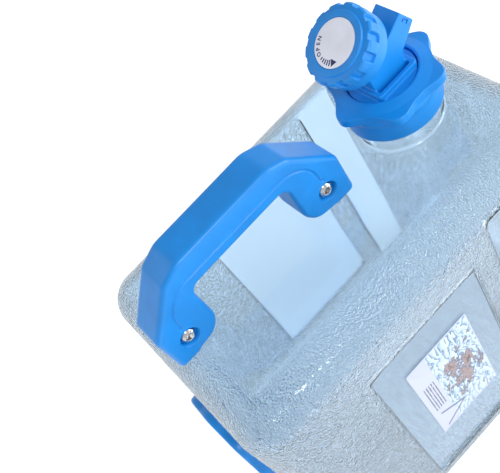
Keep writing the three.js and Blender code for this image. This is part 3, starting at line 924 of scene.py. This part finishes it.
def makeTapBody():
    d = tapBody
    half, inner = d["bossHalf"], d["bossHalf"] - d["bossWall"]
    spout = [
        (-12.8, 36.0), (12.8, 36.0), (12.8, 45.7), alongTilt(-9.6, 11),
        alongTilt(d["spoutUnder"], d["reach"]),
        alongTilt(d["spoutTop"], d["reach"]), alongTilt(d["spoutTop"], -12.5),
    ]
    base = rod("tapFlange", 28.2, 32.4, 34.9, onTap)
    boss = prism("boss", roundedBox2d(-half, half, -half, half, d["bossCorner"]), 34.0, d["bossTop"], onTap)
    plug = rod("plug", 22.2, 34.0, 39.0, onTap)
    combine(base, [plug, boss], "UNION")
    well = prism("well", roundedBox2d(-inner, inner, -inner, inner, 1.2), d["wellFloor"], 50, onTap)
    combine(base, [well], "DIFFERENCE")
    block = prism("spoutBlock", spout, -d["blockHalf"], d["blockHalf"], sideways)
    barrel = rod("barrel", d["barrel"], -4, d["barrelTop"], onValve)
    side = d["blockHalf"]
    flats = []
    for y in (side, -side - 4):
        outline = [(-15, y), (15, y), (15, y + 4), (-15, y + 4)]
        flats.append(prism("flat", outline, -6, 17.2, onValve))
    combine(barrel, flats, "DIFFERENCE")
    combine(base, [block, barrel], "UNION")
    duct = roundedBox2d(-7, 7, -3.9, 5.2, 1.0)
    mark = [
        (27.4, -2.6), (27.4, 2.6), (24.9, 2.6), (24.9, 1.5), (26.3, 1.5), (26.3, -1.5), (24.9, -1.5),
        (24.9, -2.6),
    ]
    groove = np.array([(11.2, 23.7), (13.5, 23.7), (13.5, 25.9), (11.2, 25.9)], float)
    cuts = [
        rod("chamber", 8.0, -6, 31, onValve), rod("seatHole", 5.0, -12, -5, onValve, around=48),
        rod("inlet", 5.0, 31, 43.5, onTap, (4.5, 0), 48),
        prism("duct", duct, 2, 32, ductPlace),
        spun("ringGroove", groove, 96, onValve, closed=True),
    ]
    combine(base, cuts, "DIFFERENCE")
    base.name = "tiltedTap"
    skin = base.modifiers.new("Skin", "REMESH")
    skin.mode = "VOXEL"
    skin.voxel_size = d["voxel"] * mm
    ease = base.modifiers.new("Ease", "SMOOTH")
    ease.factor = 0.5
    ease.iterations = 5
    applyAll(base)
    combine(base, [prism("mark", mark, -11, -9.2, markPlace)], "DIFFERENCE")
    dress(base, bluePlastic, "tap", ["tap_body"], 50)


makeTapBody()
print("tap body made")


# ---- knob, its disc and the marks printed on it

knob = {
    "rim": 24.0, "backRadius": 22.8, "back": 17.9, "front": 36.9, "face": 18.8, "disc": 14.5, "grooves": 13,
    "grooveHalf": 2.4, "grooveDepth": 2.0, "grooveEnd": 26.6, "grooveTurn": math.radians(-171),
}


def makeKnob():
    d = knob
    front, back = d["front"], d["back"]
    profile = refine(roundCorners([
        (0, front - 0.8, 0), (14.8, front - 0.8, 0.15), (14.8, front, 0.35), (d["face"], front, 0.5),
        (d["face"] + 0.3, front - 1.3, 0.5), (d["rim"] - 1.0, front - 1.9, 0.7), (d["rim"], front - 3.1, 0.9),
        (d["rim"], front - 8.4, 1.0), (d["rim"] - 0.6, front - 10.6, 1.2), (d["backRadius"], back, 0.7),
        (20.8, back, 0.6), (20.8, 33.1, 0.8), (15.6, 33.1, 0.8), (15.6, back, 0.5), (12.8, back, 0.5),
        (12.8, 23.7, 0.15), (14.4, 23.7, 0.15), (14.4, 25.9, 0.15), (12.8, 25.9, 0.15), (12.8, 33.1, 0.6),
        (7.2, 33.1, 0.6), (7.2, 22.2, 0.4), (4.5, 22.2, 0.4), (4.5, 31.5, 0.3), (0, 31.5, 0),
    ], 5), 0.8)
    order = np.arange(len(profile))
    first, last = np.argmax(profile[:, 1] < front - 1.2), np.argmax(profile[:, 1] < back + 0.05)
    outside = (order > first) & (order < last) & (profile[:, 0] > d["face"] + 0.6)

    def shaped(angle, r, z):
        step = 2 * math.pi / d["grooves"]
        off = (angle - d["grooveTurn"] + step / 2) % step - step / 2
        beside = 1 - smoothStep(np.abs(off) * d["rim"], d["grooveHalf"] - 0.25, d["grooveHalf"] + 0.25)
        along = smoothStep(z, d["grooveEnd"] - 0.3, d["grooveEnd"] + 0.3)
        floor = d["rim"] - d["grooveDepth"]
        cut = np.maximum(r - floor, 0) * beside * along * outside[:, None]
        return r - cut, z

    piece = spun("gripKnob", profile, d["grooves"] * 28, onValve, shaped)
    dress(piece, bluePlastic, "knob", ["knob"])
    disc = refine(roundCorners([
        (0, front, 0), (d["disc"], front, 0.3), (d["disc"], front - 0.5, 0.1), (0, front - 0.5, 0),
    ], 4), 1.2)
    plate = spun("turnDisc", disc, 120, onValve)
    dress(plate, discPlastic, "knob", ["knob_disc"])


def onDisc(angle, radius):
    # a flat drawing (right, up) stands on the disc at that angle, its top outwards; angle runs from +Y
    toward = np.array([-math.sin(angle), math.cos(angle)])
    aside = np.array([toward[1], -toward[0]])

    def place(p):
        flat = toward * radius + p[..., 0:1] * aside + p[..., 1:2] * toward
        return onValve(np.concatenate([flat, p[..., 2:3] + knob["front"]], -1))

    return place


def makeMarks():
    # four letters, then bars that grow towards an arrowhead
    pieces = []
    for letter, turn in zip("OPEN", (52.0, 36.0, 20.5, 5.0)):
        curve = bpy.data.curves.new("letter", "FONT")
        curve.body = letter
        curve.size, curve.offset, curve.extrude = 3.5 * mm, 0.09 * mm, 0.03 * mm
        curve.align_x = curve.align_y = "CENTER"
        curve.resolution_u = 4
        source = putObject("letter", curve)
        mesh = bpy.data.meshes.new_from_object(source.evaluated_get(bpy.context.evaluated_depsgraph_get()))
        bpy.data.objects.remove(source)
        flat = np.empty(len(mesh.vertices) * 3)
        mesh.vertices.foreach_get("co", flat)
        flat = flat.reshape(-1, 3) / mm + np.array([0, 0, 0.035])
        moved = onDisc(math.radians(turn), 11.6)(flat) * mm
        mesh.vertices.foreach_set("co", moved.ravel())
        mesh.update()
        pieces.append(putObject("letter", mesh))
    for i, turn in enumerate((69, 78.5, 87.5, 96, 104.5)):
        halfWide, halfTall = 0.42, 1.0 + 0.2 * i
        outline = [(-halfWide, -halfTall), (halfWide, -halfTall), (halfWide, halfTall), (-halfWide, halfTall)]
        pieces.append(prism("tick", outline, 0.005, 0.06, onDisc(math.radians(turn), 11.3)))
    arrow = [(1.7, -2.3), (1.7, 2.3), (-2.4, 0.2)]
    pieces.append(prism("arrow", arrow, 0.005, 0.06, onDisc(math.radians(119), 11.0)))
    work = bmesh.new()
    for piece in pieces:
        work.from_mesh(piece.data)
    mesh = bpy.data.meshes.new("turnMarks")
    bmesh.ops.remove_doubles(work, verts=work.verts, dist=1e-7)
    bmesh.ops.recalc_face_normals(work, faces=work.faces)
    work.to_mesh(mesh)
    work.free()
    for piece in pieces:
        bpy.data.objects.remove(piece)
    marks = putObject("turnMarks", mesh)
    mesh.materials.append(darkInk)
    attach(marks, "knob")


makeKnob()
makeMarks()
print("knob made")


# ---- inner pieces of the valve

def makeValve():
    plunger = refine(roundCorners([
        (0, -4, 0), (7.4, -4, 0.4), (7.4, -1, 0.4), (4.0, 0.5, 0.6), (4.0, 8.0, 0.6), (7.4, 9.5, 0.4),
        (7.4, 12.1, 0.2), (5.4, 12.1, 0.2), (5.4, 14.9, 0.2), (7.4, 14.9, 0.2), (7.4, 17.5, 0.4),
        (4.0, 17.5, 0.5), (4.0, 26, 0.5), (0, 26, 0),
    ], 4), 0.4)

    def threaded(angle, r, z):
        ridge = 0.3 * (0.5 - 0.5 * np.cos((z / 2.0 - angle / (2 * math.pi)) * 2 * math.pi))
        return np.where((np.abs(r - 4.0) < 0.02) & (z > 18.3) & (z < 25.3), r - ridge, r), z

    piece = spun("valvePlunger", plunger, 72, onValve, threaded)
    combine(piece, [rod("screwHole", 1.7, -6, 3, onValve, around=32)], "DIFFERENCE")
    dress(piece, naturalPlastic, "plunger", ["valve_plunger"])
    turn = np.linspace(0, 2 * math.pi, 17)[:-1]
    seal = np.column_stack([6.75 + 0.95 * np.cos(turn), 13.5 + 0.95 * np.sin(turn)])
    ring = spun("ringSeal", seal, 80, onValve, closed=True)
    dress(ring, sealRubber, "plunger", ["plunger_ring_seal"], 60)
    flat = refine(roundCorners([
        (1.75, -5.7, 0), (7.2, -5.7, 0.35), (7.2, -4.3, 0.3), (1.75, -4.3, 0.1),
    ], 4), 0.6)
    seat = spun("seatSeal", flat, 72, onValve, closed=True)
    dress(seat, sealRubber, "plunger", ["plunger_seat_seal"])
    screw = refine(roundCorners([
        (0, -8, 0), (2.0, -7.9, 0.4), (2.8, -7.1, 0.5), (2.8, -6.0, 0.15), (1.4, -6.0, 0.1),
        (1.4, 2, 0.3), (0, 2, 0),
    ], 4), 0.3)
    pin = spun("sealScrew", screw, 48, onValve)
    slot = prism("slot", [(-3, -0.4), (3, -0.4), (3, 0.4), (-3, 0.4)], -9, -7.1, onValve)
    combine(pin, [slot], "DIFFERENCE")
    dress(pin, steel, "plunger", ["seal_screw"], 35)


def makeRetainer():
    # a round wire bent to an open ring, with its two ends closed
    opening = math.radians(9)
    around = np.linspace(opening, 2 * math.pi - opening, 120)[:, None]
    turn = np.linspace(0, 2 * math.pi, 12, endpoint=False)[None, :]
    radius = np.full((120, 1), 0.68)
    r = 12.8 + radius * np.cos(turn)
    z = 24.8 + radius * np.sin(turn)
    points = np.stack([r * np.cos(around), r * np.sin(around), z], -1)
    ends = [points[0].mean(0)[None].repeat(12, 0)[None], points[-1].mean(0)[None].repeat(12, 0)[None]]
    points = np.concatenate([ends[0], points, ends[1]])
    piece = putMesh("retainingRing", onValve(points), gridQuads(122, 12))
    dress(piece, steel, "tap", ["knob_retaining_ring"], 50)


makeValve()
makeRetainer()
print("valve made")


# ---- label

label = {"left": stickerHigh[2], "right": stickerLow[2], "bottom": stickerLow[0], "top": stickerHigh[0]}


def makeLabelMaterial():
    # (a, b) run across and up the label from 0 to 1; each motif is a mask made of simple bounds
    n = Nodes("labelPrint")
    place = n.add("TexCoord").outputs["Object"]
    axes = n.add("SeparateXYZ", {"Vector": place}).outputs
    wide = (label["left"] - label["right"]) * mm
    tall = (label["top"] - label["bottom"]) * mm
    a = n.math("DIVIDE", n.math("SUBTRACT", label["left"] * mm, axes["Z"]), wide)
    b = n.math("DIVIDE", n.math("SUBTRACT", axes["X"], label["bottom"] * mm), tall)
    both = n.add("CombineXYZ", {"X": a, "Y": b}).outputs["Vector"]

    def within(value, low, high):
        return n.math("MULTIPLY", n.math("GREATER_THAN", value, low), n.math("LESS_THAN", value, high))

    def inBox(lowA, highA, lowB, highB):
        return n.math("MULTIPLY", within(b, lowB, highB), within(a, lowA, highA))

    def mixed(factor, under, over):
        node = n.add("Mix", data_type="RGBA")
        for socket, value in ((0, factor), (6, under), (7, over)):
            feed(n.tree, node.inputs[socket], value)
        return node.outputs[2]

    waves = n.add("TexNoise", {"Vector": both, "Scale": 5.0, "Detail": 6.0, "Distortion": 1.4}).outputs["Fac"]
    bands = n.math("FRACT", n.math("ADD", n.math("MULTIPLY", b, 9.0), n.math("MULTIPLY", waves, 5.0)))
    water = n.ramp(bands, [
        (0.0, (0.03, 0.06, 0.15, 1)), (0.2, (0.25, 0.40, 0.62, 1)),
        (0.5, (0.52, 0.68, 0.84, 1)), (1.0, (0.64, 0.76, 0.88, 1)),
    ])
    ridge = n.add("TexNoise", {"Vector": both, "Scale": 7.0, "Detail": 8.0, "Roughness": 0.7}).outputs["Fac"]
    distance = n.add("VectorMath", {0: both, 1: (0.5, 0.66, 0)}, operation="DISTANCE").outputs["Value"]
    rocks = n.ramp(n.math("ADD", ridge, n.math("MULTIPLY", distance, 0.62)), [
        (0.44, (0.01, 0.02, 0.05, 1)), (0.50, (0.15, 0.08, 0.07, 1)),
        (0.55, (0.38, 0.29, 0.30, 1)), (0.62, (0.02, 0.04, 0.10, 1)),
    ])
    rockMask = n.math("LESS_THAN", n.math("ADD", ridge, n.math("MULTIPLY", distance, 0.62)), 0.63)
    picture = mixed(rockMask, water, rocks)
    paper = (0.52, 0.57, 0.76, 1)
    print1 = mixed(inBox(0.012, 0.988, 0.3, 0.985), paper, picture)
    rows = n.math("LESS_THAN", n.math("FRACT", n.math("MULTIPLY", b, 26.0)), 0.42)
    stretched = n.add("Mapping", {"Vector": both, "Scale": (90, 26, 1)}).outputs["Vector"]
    words = n.add("TexNoise", {"Vector": stretched, "Scale": 1.0}).outputs["Fac"]
    lines = n.math("MULTIPLY", rows, n.math("GREATER_THAN", words, 0.44))
    block = n.math("MULTIPLY", lines, inBox(0.3, 0.66, 0.06, 0.26))
    print2 = mixed(block, print1, (0.03, 0.03, 0.06, 1))
    slant = n.math("ABSOLUTE", n.math("SUBTRACT", a, 0.84))
    peak = n.math("SUBTRACT", n.math("SUBTRACT", 0.5, b), n.math("MULTIPLY", slant, 3.4))
    outline = n.math("MULTIPLY", within(peak, 0.0, 0.07), n.math("GREATER_THAN", b, 0.1))
    print3 = mixed(outline, print2, (0.06, 0.09, 0.24, 1))
    outer = n.math("LESS_THAN", axes["Y"], (stickerLow[1] + stickerHigh[1]) / 2 * mm)
    n.put(Base_Color=mixed(outer, paper, print3), Roughness=0.3, Coat_Weight=0.3, Coat_Roughness=0.1)
    fibre = n.add("TexNoise", {"Vector": place, "Scale": 900.0, "Detail": 3.0}).outputs["Fac"]
    n.put(Normal=n.add("Bump", {"Height": fibre, "Strength": 0.05, "Distance": 0.0002}).outputs["Normal"])
    return n.material


def makeLabel():
    # a thin rounded sheet whose rim is eased, lying in the near panel
    halfX = (label["top"] - label["bottom"]) / 2
    halfZ = (label["left"] - label["right"]) / 2
    ring = roundedBox2d(-halfX, halfX, -halfZ, halfZ, 1.5, 6)
    middle = np.array([(label["top"] + label["bottom"]) / 2, (label["left"] + label["right"]) / 2])
    back, front = stickerHigh[1], stickerLow[1]
    layers = []
    steps = ((0, back), (0.5, back), (1, back), (1, front + 0.06), (0.997, front), (0.5, front), (0, front))
    for share, depth in steps:
        flat = ring * share + middle
        layers.append(np.column_stack([flat[:, 0], np.full(len(ring), depth), flat[:, 1]]))
    points = np.array(layers)
    sheet = putMesh("labelSheet", points, gridQuads(len(layers), len(ring)))
    dress(sheet, makeLabelMaterial(), "jug", ["label_sticker"], 30)


makeLabel()
print("label made")


# ---- camera, floor and light

view = {
    "place": (-0.0949, -0.3205, 0.6281),
    "right": (0.68439, -0.59139, -0.42645),
    "up": (0.72184, 0.46721, 0.51054),
    "lens": 58.5,
}
light = {
    "sky": 1.0,
    "upward": (0.05, 0.75, 1.0, 0.42),  # from and to of height, then brightness at each
    "sideways": (-1.0, 1.0, 0.75, 1.1),
    "key": 12.5,
    "front": 7.5,
    "fill": 2.5,
    "floor": 0.52,
}


def makeCamera():
    camera = bpy.data.cameras.new("camera")
    camera.lens = view["lens"]
    camera.sensor_width = 36.0
    camera.clip_start = 0.01
    spot = putObject("camera", camera)
    right, up = Vector(view["right"]).normalized(), Vector(view["up"]).normalized()
    back = right.cross(up).normalized()
    up = back.cross(right)
    spot.matrix_world = Matrix.Translation(view["place"]) @ Matrix((right, up, back)).transposed().to_4x4()
    bpy.context.scene.camera = spot


def makeFloor():
    n = Nodes("paleFloor")
    place = n.coordinates()
    cloud = n.add("TexNoise", {"Vector": place, "Scale": 3.0, "Detail": 2.0}).outputs["Fac"]
    n.put(Base_Color=n.ramp(cloud, [(0.3, (0.9, 0.91, 0.92, 1)), (0.7, (0.94, 0.94, 0.95, 1))]))
    n.put(Roughness=0.7)
    n.put(Emission_Color=(0.95, 0.97, 1.0, 1), Emission_Strength=light["floor"])
    floor = prism("floor", circle(6000, 96), -20, -0.3, unmoved)
    floor.data.materials.append(n.material)


def softLight(name, place, target, size, power, colour=(1, 1, 1)):
    data = bpy.data.lights.new(name, "AREA")
    data.size = size
    data.energy = power
    data.color = colour
    lamp = putObject(name, data)
    away = Vector(place) - Vector(target)
    lamp.matrix_world = Matrix.Translation(place) @ away.to_track_quat("Z", "Y").to_matrix().to_4x4()


def makeLight():
    # a sky that is bright low down and on the key side, dimmer overhead
    world = bpy.data.worlds.new("studio")
    world.use_nodes = True
    tree = world.node_tree
    back = tree.nodes["Background"]
    back.inputs["Strength"].default_value = light["sky"]
    way = tree.nodes.new("ShaderNodeTexCoord").outputs["Generated"]
    ramps = []
    for direction, stops in (((0, 0, 1), light["upward"]), ((0.8, -0.6, 0), light["sideways"])):
        dot = tree.nodes.new("ShaderNodeVectorMath")
        dot.operation = "DOT_PRODUCT"
        tree.links.new(way, dot.inputs[0])
        dot.inputs[1].default_value = direction
        ramp = tree.nodes.new("ShaderNodeMapRange")
        tree.links.new(dot.outputs["Value"], ramp.inputs["Value"])
        for key, value in zip(("From Min", "From Max", "To Min", "To Max"), stops):
            ramp.inputs[key].default_value = value
        ramps.append(ramp.outputs["Result"])
    product = tree.nodes.new("ShaderNodeMath")
    product.operation = "MULTIPLY"
    tree.links.new(ramps[0], product.inputs[0])
    tree.links.new(ramps[1], product.inputs[1])
    tree.links.new(product.outputs[0], back.inputs["Color"])
    bpy.context.scene.world = world
    softLight("key", (1.25, -0.85, 0.75), (0.03, 0, 0.2), 0.7, light["key"])
    softLight("front", (-0.12, -1.05, 1.35), (0, 0, 0.2), 0.36, light["front"])
    softLight("fill", (-1.0, 0.9, 1.2), (0, 0, 0.2), 0.9, light["fill"])
    bpy.context.scene.view_settings.view_transform = "Standard"


makeCamera()
makeFloor()
makeLight()
